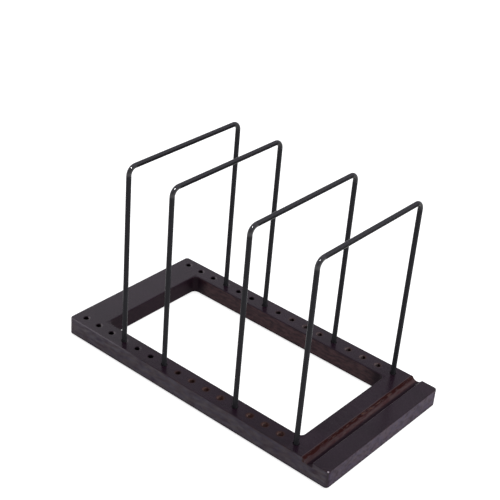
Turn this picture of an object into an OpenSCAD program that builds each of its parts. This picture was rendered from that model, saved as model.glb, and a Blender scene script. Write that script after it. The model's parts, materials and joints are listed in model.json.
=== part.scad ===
// Record storage stand: a routed wooden base board with four lift-out wire dividers.
// Millimetres. X runs across the board, Y from the front edge to the back, Z up.
// The origin is on the floor under the middle of the board.

/* [Board] */
// Length of the board, front edge to back edge
board_l = 360; // [300:1:440]
// Width of the board, side to side
board_w = 189; // [150:1:240]
// Thickness of the board
board_t = 20.5; // [17:0.5:28]
// Radius of the four upright outer corners
corner_r = 4; // [2.5:0.25:12]
// Round-over along the top and bottom edges
edge_r = 1; // [0.4:0.1:2.4]

/* [Opening] */
// Width of each side rail
rail_w = 24; // [16:0.5:30]
// Depth of the front part, front edge to opening
front_w = 52; // [40:0.5:62]
// Depth of the back part, opening to back edge
back_w = 36; // [20:0.5:60]
// Radius of the opening's inner corners
opening_r = 6; // [4:0.25:20]

/* [Display groove] */
// Front edge to the middle of the groove
groove_y = 25.5; // [18:0.5:30]
// Radius of the groove's round bottom
groove_r = 6.35; // [5:0.05:9]
// Depth of the groove
groove_d = 4.2; // [3:0.1:5]
// Round-over along the groove's two lips
lip_r = 0.8; // [0.3:0.1:1.2]

/* [Divider holes] */
// Number of holes in each rail
hole_count = 16; // [13:1:19]
// Front edge to the middle of the first hole
first_hole = 49; // [35:0.5:60]
// Back edge to the middle of the last hole
last_hole = 14; // [8:0.5:20]
// Depth of each hole
hole_depth = 14; // [10:0.5:15]
// Countersink at the mouth of each hole
hole_sink = 0.7; // [0.2:0.1:1.2]

/* [Dividers] */
// Diameter of the coated wire
wire_d = 5.5; // [4:0.1:6.6]
// Height of a divider above the board's top face
divider_h = 210.5; // [150:0.5:260]
// Bend radius at the middle of the wire
bend_r = 8.5; // [4:0.5:30]
// Chamfer at the end of each leg
leg_chamfer = 0.6; // [0.2:0.1:1]
// Gap round a leg in its hole
leg_fit = 0.08; // [0.02:0.01:0.1]
// Gap under a leg in its hole
leg_end_gap = 0.3; // [0.2:0.05:1]
// Holes that the dividers stand in, counted from the front
divider_holes = [1, 5, 10, 13]; // [1:1:13]

/* [Foot pads] */
// Diameter of a pad
pad_d = 12; // [8:0.5:16]
// Thickness of a pad
pad_t = 1.5; // [1:0.1:3]
// Middle of a pad from the board's side, front and back edges
pad_inset = 14; // [10:0.5:20]
// Round-over along a pad's lower edge
pad_edge = 0.5; // [0.2:0.1:0.8]

/* [Hidden] */
$fn = 64;
over = 1;                               // how far a cut runs out into the air
board_top = pad_t + board_t;
row_x = board_w / 2 - rail_w / 2;       // middle of a rail, where its holes are
hole_pitch = (board_l - first_hole - last_hole) / (hole_count - 1);
hole_d = wire_d + 2 * leg_fit;
opening_w = board_w - 2 * rail_w;
opening_l = board_l - front_w - back_w;
opening_mid = (front_w - back_w) / 2;
leg_in = hole_depth - leg_end_gap;      // length of leg below the board's top face
bar_z = divider_h - wire_d / 2;         // middle of the top bar above the board's top face

wood = "#2f2a2d";
coated_wire = "#1b1b1d";
rubber = "#141414";

// Place along the board of the hole with this number, counted from 1 at the front
function hole_y(number) = -board_l / 2 + first_hole + (number - 1) * hole_pitch;

// Outline of a rectangle with round corners, about the origin
module rounded_rect(w, l, r) {
    square([w - 2 * r, l], center = true);
    square([w, l - 2 * r], center = true);
    for (x = [-1, 1], y = [-1, 1]) {
        translate([x * (w / 2 - r), y * (l / 2 - r)]) circle(r);
    }
}

// Section of what a round-over bit takes off an edge at [0, 0], with the wood to the left and below
module edge_waste(r) {
    difference() {
        translate([-r, -r]) square(r + over);
        translate([-r, -r]) circle(r);
    }
}

// The same section, with the wood to the right of the edge where it runs round an opening
module facing_waste(r, round_opening) {
    if (round_opening) mirror([1, 0]) edge_waste(r);
    else edge_waste(r);
}

// What the bit takes off on one trip round a rounded rectangle whose wood lies below z = 0
module round_over(w, l, corner, r, round_opening = false) {
    for (turn = [0:3]) {
        reach = (turn % 2 == 0 ? w : l) / 2;
        half = (turn % 2 == 0 ? l : w) / 2;
        run = 2 * (half - corner);
        rotate(90 * turn) {
            translate([reach, run / 2, 0])
                rotate([90, 0, 0]) linear_extrude(run) facing_waste(r, round_opening);
            translate([reach - corner, half - corner, 0])
                rotate_extrude(angle = 90) translate([corner, 0]) facing_waste(r, round_opening);
        }
    }
}

// Round-over of the top and the bottom edge of an outline cut through the board
module both_edges(w, l, corner, round_opening = false) {
    translate([0, 0, board_t]) round_over(w, l, corner, edge_r, round_opening);
    mirror([0, 0, 1]) round_over(w, l, corner, edge_r, round_opening);
}

// Blind hole for one leg, its mouth at z = 0
module leg_hole() {
    r = hole_d / 2;
    rotate_extrude() polygon([
        [0, -hole_depth],
        [r, -hole_depth],
        [r, -hole_sink],
        [r + hole_sink + over, over],
        [0, over]
    ]);
}

// Section of the groove, its lips at y = 0: a round bottom that runs into a rounded lip on each side
module groove_section() {
    rise = groove_r - groove_d;
    lip_x = sqrt(pow(groove_r + lip_r, 2) - pow(rise + lip_r, 2));
    translate([0, rise]) circle(groove_r);
    for (side = [-1, 1]) {
        difference() {
            polygon([[0, rise], [side * lip_x, -lip_r], [side * lip_x, over], [0, over]]);
            translate([side * lip_x, -lip_r]) circle(lip_r);
        }
    }
}

// Groove right across the board
module display_groove() {
    run = board_w + 2 * over;
    translate([-run / 2, 0, 0]) rotate([90, 0, 90]) linear_extrude(run) groove_section();
}

module base_board() {
    color(wood) translate([0, 0, pad_t]) difference() {
        linear_extrude(board_t) rounded_rect(board_w, board_l, corner_r);
        translate([0, opening_mid, -over])
            linear_extrude(board_t + 2 * over) rounded_rect(opening_w, opening_l, opening_r);
        both_edges(board_w, board_l, corner_r);
        translate([0, opening_mid, 0]) both_edges(opening_w, opening_l, opening_r, true);
        translate([0, groove_y - board_l / 2, board_t]) display_groove();
        for (side = [-1, 1], number = [1:hole_count]) {
            translate([side * row_x, hole_y(number), board_t]) leg_hole();
        }
    }
}

// One leg and the bend above it, on the right of the divider
module leg_and_bend() {
    translate([row_x, 0, -leg_in]) {
        cylinder(h = leg_chamfer, d1 = wire_d - 2 * leg_chamfer, d2 = wire_d);
        translate([0, 0, leg_chamfer]) cylinder(h = leg_in + bar_z - bend_r - leg_chamfer, d = wire_d);
    }
    translate([row_x - bend_r, 0, bar_z - bend_r])
        rotate([90, 0, 0]) rotate_extrude(angle = 90) translate([bend_r, 0]) circle(d = wire_d);
}

// A wire hoop in the pair of holes with this number
module divider(number) {
    bar_l = 2 * (row_x - bend_r);
    color(coated_wire) translate([0, hole_y(number), board_top]) {
        leg_and_bend();
        mirror([1, 0, 0]) leg_and_bend();
        translate([0, 0, bar_z]) rotate([0, 90, 0]) cylinder(h = bar_l, d = wire_d, center = true);
    }
}

// A pad under the corner of the board on this side (-1 left, 1 right) and end (-1 front, 1 back)
module foot_pad(side, end) {
    color(rubber) translate([side * (board_w / 2 - pad_inset), end * (board_l / 2 - pad_inset), 0])
        difference() {
            cylinder(h = pad_t, d = pad_d);
            mirror([0, 0, 1]) rotate_extrude() translate([pad_d / 2, 0]) edge_waste(pad_edge);
        }
}

base_board();
divider(divider_holes[0]);  // divider_1
divider(divider_holes[1]);  // divider_2
divider(divider_holes[2]);  // divider_3
divider(divider_holes[3]);  // divider_4
foot_pad(-1, -1);  // foot_pad_front_left
foot_pad(1, -1);  // foot_pad_front_right
foot_pad(-1, 1);  // foot_pad_back_left
foot_pad(1, 1);  // foot_pad_back_right
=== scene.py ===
# A storage stand: one stained board with a groove across its front, four wire
# dividers that plug into two rows of holes, and a rubber pad under each corner.
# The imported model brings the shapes. This file gives them their finish, the floor,
# the light and the camera. Metres, Y runs from the front edge to the back, Z up.
import json
import math
from types import SimpleNamespace

import bmesh
import bpy
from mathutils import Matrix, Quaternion, Vector


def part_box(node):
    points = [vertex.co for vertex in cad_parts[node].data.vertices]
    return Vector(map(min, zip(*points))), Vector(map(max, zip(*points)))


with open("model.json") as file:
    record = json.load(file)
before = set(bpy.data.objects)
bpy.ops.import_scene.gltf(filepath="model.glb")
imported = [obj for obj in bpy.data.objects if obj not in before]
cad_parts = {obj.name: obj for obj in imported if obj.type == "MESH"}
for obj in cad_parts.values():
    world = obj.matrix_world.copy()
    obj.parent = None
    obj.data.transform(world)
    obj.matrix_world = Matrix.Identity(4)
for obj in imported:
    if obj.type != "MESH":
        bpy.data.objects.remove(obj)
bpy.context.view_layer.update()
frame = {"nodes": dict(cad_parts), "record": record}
mm = 0.001


class Value:
    # a node's output, whose sums and products are Math nodes of the same material

    def __init__(self, nodes, socket):
        self.nodes = nodes
        self.socket = socket

    def math(self, operation, *values):
        sockets = dict(enumerate(values))
        return self.nodes.add("ShaderNodeMath", {"operation": operation}, sockets)["Value"]

    def __add__(self, other):
        return self.math("ADD", self, other)

    def __radd__(self, other):
        return self.math("ADD", other, self)

    def __sub__(self, other):
        return self.math("SUBTRACT", self, other)

    def __rsub__(self, other):
        return self.math("SUBTRACT", other, self)

    def __mul__(self, other):
        return self.math("MULTIPLY", self, other)

    def __rmul__(self, other):
        return self.math("MULTIPLY", other, self)

    def __truediv__(self, other):
        return self.math("DIVIDE", self, other)

    def __rtruediv__(self, other):
        return self.math("DIVIDE", other, self)

    def __pow__(self, other):
        return self.math("POWER", self, other)

    def __abs__(self):
        return self.math("ABSOLUTE", self)

    def lower(self, other):
        return self.math("MINIMUM", self, other)

    def higher(self, other):
        return self.math("MAXIMUM", self, other)

    def wrap(self, low, high):
        return self.math("WRAP", self, high, low)

    def rise(self, start, end):
        # 0 up to start and 1 from end on, or 1 and then 0 where end is the lower of the two
        smooth = {"interpolation_type": "SMOOTHSTEP"}
        sockets = {"Value": self, "From Min": min(start, end), "From Max": max(start, end)}
        step = self.nodes.add("ShaderNodeMapRange", smooth, sockets)["Result"]
        return step if end > start else 1 - step

    def band(self, limits):
        # the same for a length in metres, with its two limits in millimetres
        return self.rise(limits[0] * mm, limits[1] * mm)


class Nodes:
    # the node tree of one material, or of the world

    def __init__(self, owner):
        owner.use_nodes = True
        self.tree = owner.node_tree
        self.tree.nodes.clear()

    def add(self, kind, settings, sockets):
        # settings go in first; sockets go by name, or by number where a node repeats a name
        node = self.tree.nodes.new(kind)
        for key, setting in settings.items():
            setattr(node, key, setting)
        for key, value in sockets.items():
            socket = node.inputs[key]
            if isinstance(value, Value):
                self.tree.links.new(value.socket, socket)
            elif socket.type == "RGBA":
                socket.default_value = (*value, 1)
            else:
                socket.default_value = value
        return {output.name: Value(self, output) for output in node.outputs if output.enabled}

    def place(self):
        return self.add("ShaderNodeTexCoord", {}, {})["Object"]

    def split(self, vector):
        parts = self.add("ShaderNodeSeparateXYZ", {}, {"Vector": vector})
        return parts["X"], parts["Y"], parts["Z"]

    def stretch(self, vector, scale, shift=(0, 0, 0)):
        sockets = {"Vector": vector, "Location": shift, "Scale": scale}
        return self.add("ShaderNodeMapping", {}, sockets)["Vector"]

    def noise(self, vector, size, drawn=None, shift=(0, 0, 0), detail=2.0, roughness=0.5, waver=0.0):
        # size is the width of one patch in metres, and drawn makes it longer where it is below 1
        if drawn:
            vector = self.stretch(vector, drawn, shift)
        sockets = {"Vector": vector, "Scale": 1 / size, "Detail": detail,
                   "Roughness": roughness, "Distortion": waver}
        return self.add("ShaderNodeTexNoise", {}, sockets)["Fac"]

    def mix(self, factor, first, second):
        # two colours, each three numbers or a node's output
        settings = {"data_type": "RGBA", "clamp_factor": True}
        return self.add("ShaderNodeMix", settings, {0: factor, 6: first, 7: second})["Result"]

    def bump(self, height, distance, strength, normal=None):
        sockets = {"Height": height, "Distance": distance, "Strength": strength}
        if normal:
            sockets["Normal"] = normal
        return self.add("ShaderNodeBump", {}, sockets)["Normal"]

    def finish(self, surface, target="ShaderNodeOutputMaterial"):
        self.add(target, {}, {"Surface": surface})

    def principled(self, sockets):
        self.finish(self.add("ShaderNodeBsdfPrincipled", {}, sockets)["BSDF"])


def newMaterial(name):
    material = bpy.data.materials.new(name)
    return material, Nodes(material)


def giveMaterial(material, *nodes):
    for name in nodes:
        for slot in frame["nodes"][name].material_slots:
            slot.material = material


# Most pairs below are where something starts to show and where it is complete.
board = {
    # stains, bare wood and painted light and shade, linear
    "stain": (0.0112, 0.0043, 0.0098),      # under the lacquer
    "deepStain": (0.0085, 0.0038, 0.0075),  # where the wood took more of it, and as painted shade in the opening's corners and the groove's front half
    "endStain": (0.0355, 0.0220, 0.0480),   # on the front and back faces, painted lighter than the top as painted light from the front
    "endBrown": (0.0425, 0.0240, 0.0390),   # and in patches there
    "sideStain": (0.0165, 0.0080, 0.0225),  # on the left and right faces, painted a little lighter than the top as painted light
    "sideBrown": (0.0215, 0.0095, 0.0165),
    "innerStain": (0.0410, 0.0122, 0.0148), # on the walls of the opening
    "grooveStain": (0.0400, 0.0150, 0.0168),    # in the groove
    "bareStain": (0.0560, 0.0360, 0.0365),  # and in patches there
    "lipStain": (0.0520, 0.0300, 0.0300),   # painted highlight along its back lip
    "rawWood": (0.0720, 0.0300, 0.0190),    # where that lip is chipped, and at worn edges
    "scorch": (0.0200, 0.0040, 0.0032),     # cutter burns in the groove
    "mouthWood": (0.1000, 0.0800, 0.0810),  # painted highlight on one side of the mouths of the free front holes
    "leftMouth": (0.1080, 0.0680, 0.0620),  # and in the left row
    "rearMouth": (0.1000, 0.0850, 0.0920),  # and painted highlight on the right of the last ones
    "ringWood": (0.0300, 0.0125, 0.0125),   # on the top face round them
    "leftRing": (0.0240, 0.0100, 0.0080),
    "usedBore": (0.0150, 0.0075, 0.0080),   # further down in them
    # painted light on the bare wood further down in the left row
    "leftBore": (0.1150, 0.0520, 0.0460),
    "boreWood": (0.0010, 0.0005, 0.0006),   # painted shade further down in the others
    "heldEdge": (0.0850, 0.0740, 0.0880),   # painted highlight along the left top edge, towards the back
    # painted glint on the front left corner
    "dingWood": (0.2500, 0.2150, 0.2400),

    # a painted glint on the front left corner, and the largest burn: x, and y from the middle of the
    # groove
    "ding": (-93.35 * mm, -178.7 * mm, 21.6 * mm),
    "dingSize": 1.0 * mm,
    "burn": (-78 * mm, 4.8 * mm),
    "burnSize": (7.0 * mm, 1.2 * mm),
    "rearRub": (0.62, -0.79),               # which way the painted highlight on the last holes faces

    # growth rings, about the middle of the tree below the board
    "ringCentre": (31 * mm, 0, -96 * mm),
    "ringGap": 21.36 * mm,
    "ringDrawn": (1, 0.06, 1),
    "ringWaver": {"Distortion": 5.0, "Detail": 2.5, "Detail Scale": 0.6},

    # the other patterns: width of a patch, and how it is drawn out along x, y and z
    "patterns": {
        "fibres": {"size": 0.32 * mm, "drawn": (1, 0.03, 1), "detail": 3.0, "roughness": 0.6},
        "pores": {"size": 0.55 * mm, "drawn": (1, 0.07, 1), "detail": 1.0},
        "clouds": {"size": 38 * mm, "drawn": (1, 0.45, 1), "detail": 4.0, "roughness": 0.62,
                   "waver": 0.6},
        "mottle": {"size": 2.8 * mm, "drawn": (0.6, 0.3, 1)},       # light and dark, on upright faces
        "tint": {"size": 3.92 * mm, "drawn": (0.6, 0.3, 1), "shift": (3, 5, 7)},    # and brown
        "patches": {"size": 6 * mm, "drawn": (0.35, 1, 1), "detail": 4.0, "roughness": 0.6},
        "dashes": {"size": 1.5 * mm, "drawn": (0.20, 1, 1), "roughness": 0.55},     # left by the cutter
        "brushing": {"size": 2.4 * mm},
    },
    # shades of those patterns
    "shades": {
        "stain": (0.30, 0.72),
        "pores": (0.40, 0.27),
        "inner": (0.32, 0.66),
        "brown": (0.38, 0.62),
        "dark": (0.54, 0.38),
        "bare": (0.35, 0.62),
        "worn": (0.42, 0.72),
        "chips": (0.60, 0.66),
        "burns": (0.57, 0.53),
        "spot": (1.3, 0.7),                 # in parts of a spot's size
    },
    # lengths, in millimetres
    "bands": {
        "face": (0.9, 0.3),                 # in from an edge, where one face's finish turns to the next
        "worn": (2.0, 0.4),
        "underside": (3.2, 1.0),
        "wall": (0.6, 0.3),                 # out from the walls of the opening
        "wallEnds": (-22, -7),
        "rim": (2.6, 0.8),
        "groove": (6.9, 6.1),               # from its middle
        "grooveLip": (0.15, 0.5),           # below the top face
        "grooveFloor": (6, 5),
        "pooled": (2.2, -1.4),
        "backWall": (3.0, 4.8),
        "tornFrom": (3.8, 4.6),
        "tornTo": (7.2, 6.5),
        "lipFrom": (6.3, 6.9),
        "lipTo": (8.2, 7.3),
        "rowStart": (-4.5, -4.2),           # from the first hole
        "rowBase": (3, 4),
        "hole": (4.0, 3.4),                 # from its middle
        "ring": (6.0, 3.4),
        "bore": (0.6, 1.0),                 # below the top face
        "mouth": (5.5, 3.5),
        "mouthBack": (0.9, 1.9),
        "noLeg": (6.5, 7.5),                # from a divider that stands in the hole
        "rearWall": (1.2, 2.2),
        "rearDepth": (3.6, 2.2),
        "rearRim": (1.8, 3.2),
        "rearRing": (5.4, 3.8),
        "held": (1.2, 0.6),
        "leftHalf": (1, -1),                # from here on x, to the left
        "endLeft": (-20, -95),              # the front face's left part
        "railLeft": (-60, -72),             # the left rail
        "usedPart": (60, -60),              # and on y, towards the front or the back
        "rearPart": (60, 100),
        "heldPart": (60, 120),
        "frontPart": (-105, -122),
        "railFront": (-134, -122),
        "railBack": (110, 80),
        "sideFront": (-100, -175),
        "sideBack": (40, 140),
        "behindGroove": (6, 10),            # from the groove's middle
        "lowHalf": (15, 5),                 # above the underside
    },
    # how much of what lies under it each colour hides
    "cover": {
        "rings": 0.30,
        "pores": 0.55,
        "facePores": 0.6,
        "darkPatches": 0.50,
        "faces": 0.8,
        "endLeft": 0.15,
        "inside": 0.85,
        # painted shade in the opening's corners
        "corners": 0.9,
        "bare": 0.9,
        # painted shadow of the front lip in the groove
        "pooled": 0.95,
        "grooveLeft": 0.36,
        "backWall": 0.38,
        "ring": 0.45,
        "moreLeft": 0.35,                   # added to that in the left row
        "rearRim": 0.3,
        "wear": 0.12,
        "chips": 0.7,
        "burns": 0.9,
        # painted highlight along the groove's back lip
        "lip": 0.45,
        "underside": 0.6,
    },
    "innerCover": (0.3, 0.7),               # where the mottle is dark, and added where it is light
    "heldCover": (0.4, 0.6),                # between the patches, and added in them
    "bareGrain": (0.45, 0.55),              # shares of the patches and of the dashes
    # weight of the lacquer
    "lacquer": {"top": 1.0, "side": 0.37, "end": 0.18, "inside": 0.18, "thin": 0.25, "mouth": 0.45},
    # the share of it that is lost
    "dull": {
        "wear": 0.5,
        "burns": 0.8,
        # less lacquer in the painted shade of the opening's corners
        "corners": 0.8,
        "underside": 0.7,
        "rim": 0.4,
        "bore": 0.9,
        "leftRing": 0.5,
        "behindGroove": 0.12,
        "nearRail": 0.30,
        "sideFront": -0.12,
        "lowHalf": 0.22,
        "endLeft": 0.10,
    },
    "dullPooled": (0.35, 0.45),             # less lacquer in the painted shadow of the front lip: at the groove's right end, and added towards its left
    "mottling": 2.4,                        # how strongly the mottle shows in the lacquer
    "topMottling": 0.3,                     # the part of that which shows behind the groove
    "cloudy": (0.86, 0.28),                 # weight between the clouds, and added in them

    "lacquerGloss": 0.23,                   # roughness of the lacquer
    "woodGloss": 0.55,                      # and of the wood under it
    "woodShine": 0.05,
    "roughClouds": 0.12,
    "roughFibres": 0.10,
    "roughBare": 0.15,
    "poreDepth": 0.6,
    "grainRelief": (0.05 * mm, 0.25),       # height and strength
    "brushedRelief": (0.08 * mm, 0.20),
}


def boardPlaces():
    # where the board's own features are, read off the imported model
    low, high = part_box("base_board")
    record = frame["record"]
    openings = {o["name"]: o["box_m"] for o in record["physics"]["openings"]}
    spares = [m for m in record["mounts"] if m["name"].startswith("hole_pair")]
    taken = [sum(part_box(n), Vector()).y / 2 for n in frame["nodes"] if n.startswith("divider")]
    rows = taken + [m["pos_m"][1] for m in spares]
    groove = openings["display_groove"]
    hollow = openings["base_opening"]
    wallGap = Vector((2, 2, 0)) * mm        # the stated box stays this clear of the walls
    return {
        "low": low,
        "high": high,
        "grooveY": (groove[0][1] + groove[1][1]) / 2,
        "openFrom": Vector(hollow[0]) - wallGap,
        "openTo": Vector(hollow[1]) + wallGap,
        "holeX": spares[0]["dims"]["spacing_x_mm"] * mm / 2,
        "firstHole": min(rows),
        "holePitch": (max(rows) - min(rows)) / (len(rows) - 1),
        "taken": taken,
    }


def woodGrain(nodes, place, look):
    # the patterns that stain and lacquer follow
    grain = SimpleNamespace()
    for name, pattern in look["patterns"].items():
        setattr(grain, name, nodes.noise(place, **pattern))
    grain.pores = grain.pores.rise(*look["shades"]["pores"])
    middle = nodes.stretch(place, look["ringDrawn"], tuple(-c for c in look["ringCentre"]))
    waveScale = math.pi / 10 / look["ringGap"]      # a Wave node at scale 1 repeats every pi / 10
    grain.rings = nodes.add(
        "ShaderNodeTexWave",
        {"wave_type": "RINGS", "rings_direction": "Y", "wave_profile": "SAW"},
        {"Vector": middle, "Scale": waveScale, **look["ringWaver"]},
    )["Fac"]
    return grain


def boardAreas(nodes, place, look, places, grain):
    # the board's faces and features as masks, 1 on each and 0 off it
    bands, shades, cover = look["bands"], look["shades"], look["cover"]
    low, high = places["low"], places["high"]
    x, y, z = nodes.split(place)
    fromTop = high.z - z
    fromBase = z - low.z
    fromSide = high.x - abs(x)
    fromEnd = (high.y - low.y) / 2 - abs(y)
    at = SimpleNamespace()
    at.top = fromTop.band(bands["face"])
    at.end = fromEnd.band(bands["face"]) * (1 - at.top)
    at.side = fromSide.band(bands["face"]) * (1 - at.top) * (1 - at.end)
    at.underside = fromBase.band(bands["underside"])
    at.leftHalf = x.band(bands["leftHalf"])
    at.left = x.rise(0, low.x)

    # the walls of the opening, painted shade at their ends in its corners, and the rim of the top face
    # round it
    beside = abs(x) - places["openTo"].x
    before = places["openFrom"].y - y
    behind = y - places["openTo"].y
    at.inside = beside.band(bands["wall"]) * before.band(bands["wall"]) * behind.band(bands["wall"])
    at.inside = at.inside * (1 - at.top)
    at.corners = before.higher(behind).band(bands["wallEnds"]) * at.inside
    at.rim = beside.higher(before).higher(behind).band(bands["rim"]) * at.top

    # edges that hands and shelves wear, the painted highlight along the left top edge, and the painted
    # glint on the front left corner
    nearTop, nearSide, nearEnd = (gap.band(bands["worn"]) for gap in (fromTop, fromSide, fromEnd))
    edges = (nearTop * nearSide + nearTop * nearEnd + nearSide * nearEnd).lower(1.0)
    at.wear = edges * grain.patches.rise(*shades["worn"]) * cover["wear"]
    at.held = fromTop.band(bands["held"]) * (x - low.x).band(bands["held"]) * y.band(bands["heldPart"])
    toCornerGlint = nodes.add("ShaderNodeVectorMath", {"operation": "DISTANCE"}, {0: place, 1: look["ding"]})
    at.ding = (toCornerGlint["Value"] / look["dingSize"]).rise(*shades["spot"])

    # the groove: painted shadow of the front lip over its front half, and the cutter tore and burnt its
    # back lip in dashes
    across = y - places["grooveY"]
    at.groove = abs(across).band(bands["groove"]) * fromTop.band(bands["grooveLip"])
    at.groove = at.groove * fromTop.band(bands["grooveFloor"])
    at.pooled = across.band(bands["pooled"]) * at.groove
    at.grooveLeft = at.left * at.groove
    at.backWall = across.band(bands["backWall"]) * at.groove
    wallAndEdge = at.groove.higher(nearTop)
    torn = across.band(bands["tornFrom"]) * across.band(bands["tornTo"])
    # a painted highlight along the back lip
    at.lip = across.band(bands["lipFrom"]) * across.band(bands["lipTo"]) * wallAndEdge
    at.chips = torn * grain.dashes.rise(*shades["chips"]) * wallAndEdge
    burnX = (x - look["burn"][0]) / look["burnSize"][0]
    burnY = (across - look["burn"][1]) / look["burnSize"][1]
    largest = (burnX ** 2 + burnY ** 2).rise(*shades["spot"]) * at.groove
    at.burns = (torn * grain.dashes.rise(*shades["burns"]) * wallAndEdge).higher(largest)

    # the holes: bare wood round the free ones in the front part, painted highlights in their mouths and
    # on one side of the last ones, and painted shade deep in the others
    pitch = places["holePitch"]
    fromFirst = y - places["firstHole"]
    behindHole = fromFirst.wrap(-pitch / 2, pitch / 2)
    besideHole = abs(x) - places["holeX"]
    fromHole = (besideHole ** 2 + behindHole ** 2) ** 0.5
    rows = fromFirst.band(bands["rowStart"]) * fromBase.band(bands["rowBase"])
    fromLeg = abs(y - places["taken"][0])
    for row in places["taken"][1:]:
        fromLeg = fromLeg.lower(abs(y - row))
    at.used = y.band(bands["usedPart"]) * fromLeg.band(bands["noLeg"])
    at.hole = fromHole.band(bands["hole"]) * rows
    at.bore = at.hole * fromTop.band(bands["bore"])
    at.mouth = at.hole * fromTop.band(bands["mouth"]) * behindHole.band(bands["mouthBack"]) * at.used
    at.ring = fromHole.band(bands["ring"]) * rows * at.top * at.used
    at.leftRing = at.leftHalf * at.ring
    # painted highlight on one side of the last holes, on wall and rim
    litX, litY = look["rearRub"]
    litSide = litX * besideHole * (1 - 2 * at.leftHalf) + litY * behindHole
    rearWall = at.hole * fromTop.band(bands["rearDepth"]) * litSide.band(bands["rearWall"])
    rearRim = fromHole.band(bands["rearRing"]) * litSide.band(bands["rearRim"]) * at.top
    at.rear = rearWall.higher(rearRim * cover["rearRim"]) * y.band(bands["rearPart"])
    at.bare = at.groove.higher(at.hole * at.used)
    at.thin = at.bare.higher(torn * nearTop)

    # where the lacquer is duller, or shows its mottling
    at.behindGroove = across.band(bands["behindGroove"]) * y.band(bands["frontPart"]) * at.top
    at.nearRail = x.band(bands["railLeft"]) * y.band(bands["railFront"]) * y.band(bands["railBack"])
    at.nearRail = at.nearRail * at.top
    at.sideFront = at.side * y.band(bands["sideFront"])
    at.endLeft = at.end * x.band(bands["endLeft"])
    at.lowHalf = fromBase.band(bands["lowHalf"]) * at.end.higher(at.side * y.band(bands["sideBack"]))
    at.upright = at.end.higher(at.side).higher(at.inside)
    return at


def boardStain(nodes, look, at, grain):
    cover, shades = look["cover"], look["shades"]
    deepAndShade = look["deepStain"]
    brown = grain.tint.rise(*shades["brown"])
    facePores = grain.pores * cover["facePores"]
    darkPatches = cover["darkPatches"] * grain.mottle.rise(*shades["dark"])
    # the upright faces: grain and brown patches, with painted light that makes them lighter than the
    # top
    litEndTone = nodes.mix(brown, look["endStain"], look["endBrown"])
    litEndTone = nodes.mix(facePores.higher(darkPatches), litEndTone, deepAndShade)
    litSideTone = nodes.mix(brown, look["sideStain"], look["sideBrown"])
    litSideTone = nodes.mix(facePores, litSideTone, deepAndShade)
    least, more = look["innerCover"]
    innerTone = nodes.mix(least + more * grain.mottle.rise(*shades["inner"]), deepAndShade, look["innerStain"])

    ofPatches, ofDashes = look["bareGrain"]
    bareShade = (ofPatches * grain.patches + ofDashes * grain.dashes).rise(*shades["bare"])
    bareTone = nodes.mix(bareShade, look["grooveStain"], look["bareStain"])
    # painted shadow of the front lip over the groove's front half, with its darker left end and back
    # wall
    grooveDarker = (at.pooled * cover["pooled"]).higher(at.grooveLeft * cover["grooveLeft"])
    bareTone = nodes.mix(grooveDarker.higher(at.backWall * cover["backWall"]), bareTone, deepAndShade)

    ringTone = nodes.mix(at.leftHalf, look["ringWood"], look["leftRing"])
    mouthHighlightTone = nodes.mix(at.leftHalf, look["mouthWood"], look["leftMouth"])
    boreTone = nodes.mix(at.leftHalf, look["usedBore"], look["leftBore"])
    boreTone = nodes.mix(at.used, look["boreWood"], boreTone)

    highlightLeast, highlightMore = look["heldCover"]
    colour = nodes.mix(grain.clouds.rise(*shades["stain"]), deepAndShade, look["stain"])
    for amount, tone in (
        (grain.rings * cover["rings"] * grain.fibres, deepAndShade),
        (grain.pores * cover["pores"], deepAndShade),
        (at.inside * cover["inside"], innerTone),
        # painted shade near the opening's corners
        (at.corners * cover["corners"], deepAndShade),
        # painted light on the front, back and side faces
        (at.end * cover["faces"], litEndTone),
        (at.endLeft * cover["endLeft"], deepAndShade),
        (at.side * cover["faces"], litSideTone),
        (at.bare * cover["bare"], bareTone),
        (at.hole * (1 - at.bore) * at.used, ringTone),
        (at.bore, boreTone),
        (at.mouth, mouthHighlightTone),
        (at.ring * (cover["ring"] + cover["moreLeft"] * at.leftHalf), ringTone),
        (at.rear, look["rearMouth"]),
        ((at.wear + at.chips * cover["chips"]).lower(1.0), look["rawWood"]),
        (at.burns * cover["burns"], look["scorch"]),
        (at.lip * cover["lip"], look["lipStain"]),
        (at.underside * cover["underside"], deepAndShade),
        # painted highlight along the left top edge
        (at.held * (highlightLeast + highlightMore * grain.patches), look["heldEdge"]),
        # painted glint on the front left corner
        (at.ding, look["dingWood"]),
    ):
        colour = nodes.mix(amount, colour, tone)
    return colour


def boardLacquer(look, at, grain):
    weight = look["lacquer"]
    lacquer = weight["side"] + (weight["end"] - weight["side"]) * at.end
    for area, own in (
        (at.top, weight["top"]),
        (at.inside, weight["inside"]),
        (at.thin, weight["thin"]),
        (at.hole * (1 - at.bore), weight["mouth"]),
    ):
        lacquer = lacquer + (own - lacquer) * area
    for name, lost in look["dull"].items():
        lacquer = lacquer * (1 - lost * getattr(at, name))
    atRight, moreLeft = look["dullPooled"]
    # less lacquer in the painted shadow of the front lip
    lacquer = lacquer * (1 - (atRight + moreLeft * at.left) * at.pooled)
    mottled = at.upright.higher(look["topMottling"] * at.behindGroove)
    lacquer = lacquer * (1 + look["mottling"] * (grain.mottle - 0.5) * mottled)
    between, more = look["cloudy"]
    return lacquer * (between + more * grain.clouds)


def stainedWood(look, places):
    material, nodes = newMaterial("stainedWood")
    place = nodes.place()
    grain = woodGrain(nodes, place, look)
    at = boardAreas(nodes, place, look, places, grain)
    roughness = look["woodGloss"] + look["roughClouds"] * (grain.clouds - 0.5)
    roughness = roughness + look["roughFibres"] * grain.fibres + look["roughBare"] * at.bare
    relief = nodes.bump(grain.fibres - look["poreDepth"] * grain.pores, *look["grainRelief"])
    nodes.principled({
        "Base Color": boardStain(nodes, look, at, grain),
        "Roughness": roughness,
        "Specular IOR Level": look["woodShine"],
        "Coat Weight": boardLacquer(look, at, grain),
        "Coat Roughness": look["lacquerGloss"],
        "Normal": nodes.bump(grain.brushing, *look["brushedRelief"], relief),
    })
    return material


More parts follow.
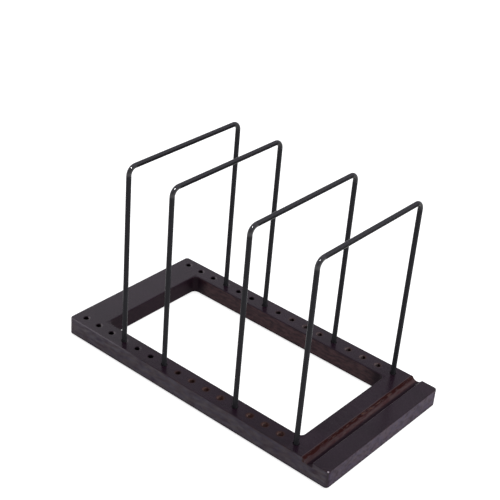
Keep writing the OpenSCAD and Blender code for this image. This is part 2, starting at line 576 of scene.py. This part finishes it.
wire = {
    "coating": (0.0014, 0.0014, 0.0018),    # painted shade on the underside of the bar
    "dusty": (0.0310, 0.0305, 0.0345),      # painted light on its upper side
    "handled": (0.0200, 0.0198, 0.0222),    # on the legs
    "scuffed": (0.0420, 0.0410, 0.0440),
    "scuffCover": 0.35,
    "dustTilt": (0.05, 0.75),               # how far up a surface faces where the painted light on its upper side starts
    "bar": (10, 4),                         # mm down from the top of a divider: its legs, and its bar
    "bend": (13, 9.1),                      # mm from its corners: off its bends, and on them
    "rightHalf": (-10, 10),                 # mm
    "specks": {"size": 0.9 * mm, "detail": 3.0, "roughness": 0.55},
    "patches": {"size": 17 * mm, "detail": 3.0},
    "scuffs": {"size": 2.4 * mm, "drawn": (1, 1, 0.18), "detail": 4.0, "roughness": 0.65},
    "scuffShade": (0.60, 0.74),
    "gloss": 0.26,
    "roughPatches": 0.10,
    "roughScuffs": 0.16,
    "reflection": 0.03,
    "polish": 0.80,                         # on the bends, which are held to lift a divider out
    "rightPolish": -0.50,                   # and how much is added to that on the right
    "polishGloss": 0.10,
    "speckRelief": (0.05 * mm, 0.30),       # height and strength
}


def coatedWire(look, corner):
    # corner is the outermost and highest point of a divider
    material, nodes = newMaterial("coatedWire")
    place = nodes.place()
    x, _, z = nodes.split(place)
    specks = nodes.noise(place, **look["specks"])
    patches = nodes.noise(place, **look["patches"])
    scuffs = nodes.noise(place, **look["scuffs"]).rise(*look["scuffShade"])
    _, _, facing = nodes.split(nodes.add("ShaderNodeNewGeometry", {}, {})["Normal"])
    fromTop = corner.z - z
    onBend = fromTop.band(look["bend"]) * (corner.x - abs(x)).band(look["bend"])
    # painted shade under the bar and painted light on its upper side, by which way a surface faces
    colour = nodes.mix(facing.rise(*look["dustTilt"]), look["coating"], look["dusty"])
    colour = nodes.mix(fromTop.band(look["bar"]), look["handled"], colour)
    colour = nodes.mix(scuffs * look["scuffCover"], colour, look["scuffed"])
    roughness = look["gloss"] + look["roughPatches"] * (patches - 0.5) + look["roughScuffs"] * scuffs
    nodes.principled({
        "Base Color": colour,
        "Roughness": roughness,
        "Specular IOR Level": look["reflection"],
        "Coat Weight": onBend * (look["polish"] + look["rightPolish"] * x.band(look["rightHalf"])),
        "Coat Roughness": look["polishGloss"],
        "Normal": nodes.bump(specks, *look["speckRelief"]),
    })
    return material


pads = {
    "rubber": (0.0150, 0.0150, 0.0155),
    # dust on the rubber
    "dusty": (0.0600, 0.0580, 0.0550),
    "dustCover": 0.5,
    "dust": {"size": 4 * mm, "detail": 4.0, "roughness": 0.6},
    "dustShade": (0.52, 0.80),
    "grit": {"size": 0.35 * mm, "roughness": 0.6},
    "gloss": 0.78,
    "gritGloss": 0.15,                      # less than that on the grit
    "gritRelief": (0.08 * mm, 0.6),         # height and strength
}


def padRubber(look):
    material, nodes = newMaterial("padRubber")
    place = nodes.place()
    grit = nodes.noise(place, **look["grit"])
    dust = nodes.noise(place, **look["dust"]).rise(*look["dustShade"])
    nodes.principled({
        "Base Color": nodes.mix(dust * look["dustCover"], look["rubber"], look["dusty"]),
        "Roughness": look["gloss"] - look["gritGloss"] * grit,
        "Normal": nodes.bump(grit, *look["gritRelief"]),
    })
    return material


studio = {
    "floorRadius": 9.0,
    "floorSides": 96,
    "floorPaint": 0.80,         # what the light sees
    "floorShade": 0.42,         # how much of the light the camera sees on it
    "floorGlow": 0.78,          # and the plain white under that
    "roomAbove": (0.335, 0.315, 0.350),
    "roomLow": (1.0, 1.0, 1.0),
    "toAbove": (0.10, 0.34),    # how steep the line of sight is where the room turns dark
    "backWall": (0.80, 0.80, 0.84),
    "toBack": (0.44, 0.78),     # and how far to the back it points for the back wall
}

lamps = {
    "topLamp": {"from": (0.10, 0.05, 1.00), "strength": 1.5, "angle": 35, "mirroredBy": ""},
    "frontLamp": {"from": (0.45, -0.75, 0.48), "strength": 1.5, "angle": 10, "mirroredBy": ""},
    "smallLamp": {"from": (-0.22, -0.42, 0.87), "strength": 0.8, "angle": 12, "mirroredBy": ""},
    "glintLamp": {"from": (-0.40, -0.25, 0.88), "strength": 4.0, "angle": 8, "mirroredBy": "divider"},
}

cameraSetup = {
    "azimuth": -51.944,         # degrees, 0 looks along +Y
    "elevation": 30.489,
    "roll": 4.987,
    "distance": 1.2493,
    "target": (0.00151, 0.01223, 0.14347),
    "lens": 87.34,
    "sensor": 36.0,
}


def addFloor(setup):
    bm = bmesh.new()
    sides, radius = setup["floorSides"], setup["floorRadius"]
    bmesh.ops.create_circle(bm, cap_ends=True, segments=sides, radius=radius)
    mesh = bpy.data.meshes.new("floor")
    bm.to_mesh(mesh)
    bm.free()
    floor = bpy.data.objects.new("floor", mesh)
    bpy.context.collection.objects.link(floor)

    material, nodes = newMaterial("whiteFloor")
    path = nodes.add("ShaderNodeLightPath", {}, {})
    seen = (path["Is Camera Ray"] + path["Is Glossy Ray"] + path["Is Transmission Ray"]).lower(1.0)
    painted = nodes.add("ShaderNodeBsdfDiffuse", {}, {"Color": (setup["floorPaint"],) * 3})["BSDF"]
    shaded = nodes.add("ShaderNodeBsdfDiffuse", {}, {"Color": (setup["floorShade"],) * 3})["BSDF"]
    glowing = {"Color": (1, 1, 1), "Strength": setup["floorGlow"]}
    glow = nodes.add("ShaderNodeEmission", {}, glowing)["Emission"]
    white = nodes.add("ShaderNodeAddShader", {}, {0: shaded, 1: glow})["Shader"]
    white = nodes.add("ShaderNodeMixShader", {}, {0: seen, 1: painted, 2: white})["Shader"]
    # from below the floor is clear, so the underside of the board and its pads can be seen
    below = nodes.add("ShaderNodeNewGeometry", {}, {})["Backfacing"]
    clear = nodes.add("ShaderNodeBsdfTransparent", {}, {})["BSDF"]
    nodes.finish(nodes.add("ShaderNodeMixShader", {}, {0: below, 1: white, 2: clear})["Shader"])
    mesh.materials.append(material)


def lightRoom(setup):
    world = bpy.data.worlds.new("room")
    bpy.context.scene.world = world
    nodes = Nodes(world)
    _, back, height = nodes.split(nodes.add("ShaderNodeTexCoord", {}, {})["Generated"])
    camera = nodes.add("ShaderNodeLightPath", {}, {})["Is Camera Ray"]
    room = nodes.mix(back.rise(*setup["toBack"]), setup["roomAbove"], setup["backWall"])
    room = nodes.mix(height.rise(*setup["toAbove"]), setup["roomLow"], room)
    shown = nodes.mix(camera, room, (1.0, 1.0, 1.0))
    background = nodes.add("ShaderNodeBackground", {}, {"Color": shown})["Background"]
    nodes.finish(background, "ShaderNodeOutputWorld")


def addLamps(setups):
    for name, setup in setups.items():
        data = bpy.data.lights.new(name, "SUN")
        data.energy = setup["strength"]
        data.angle = math.radians(setup["angle"])
        lamp = bpy.data.objects.new(name, data)
        lamp.rotation_mode = "QUATERNION"
        lamp.rotation_quaternion = Vector(setup["from"]).to_track_quat("Z", "Y")
        # a lamp either lights everything, or only shows as a glint on the pieces named
        lamp.visible_diffuse = not setup["mirroredBy"]
        lamp.visible_glossy = not lamp.visible_diffuse
        if setup["mirroredBy"]:
            mirrors = bpy.data.collections.new(name)
            for node in sorted(frame["nodes"]):
                if node.startswith(setup["mirroredBy"]):
                    mirrors.objects.link(frame["nodes"][node])
            lamp.light_linking.receiver_collection = mirrors
        bpy.context.collection.objects.link(lamp)


def addCamera(setup):
    azimuth = math.radians(setup["azimuth"])
    elevation = math.radians(setup["elevation"])
    level = math.cos(elevation)
    back = Vector((math.sin(azimuth) * level, -math.cos(azimuth) * level, math.sin(elevation)))
    data = bpy.data.cameras.new("camera")
    data.lens = setup["lens"]
    data.sensor_width = setup["sensor"]
    camera = bpy.data.objects.new("camera", data)
    camera.location = Vector(setup["target"]) + setup["distance"] * back
    camera.rotation_mode = "QUATERNION"
    lean = Quaternion((0, 0, 1), math.radians(setup["roll"]))
    camera.rotation_quaternion = (-back).to_track_quat("-Z", "Y") @ lean
    bpy.context.collection.objects.link(camera)
    bpy.context.scene.camera = camera


addCamera(cameraSetup)
addFloor(studio)
lightRoom(studio)
addLamps(lamps)
bpy.context.scene.view_settings.view_transform = "Standard"
print("floor, lamps and camera are set")

places = boardPlaces()
giveMaterial(stainedWood(board, places), "base_board")
print("board stained and lacquered")

dividers = sorted(n for n in frame["nodes"] if n.startswith("divider"))
giveMaterial(coatedWire(wire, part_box(dividers[0])[1]), *dividers)
print(len(dividers), "dividers coated")

feet = sorted(n for n in frame["nodes"] if n.startswith("foot_pad"))
giveMaterial(padRubber(pads), *feet)
print(len(feet), "foot pads finished")
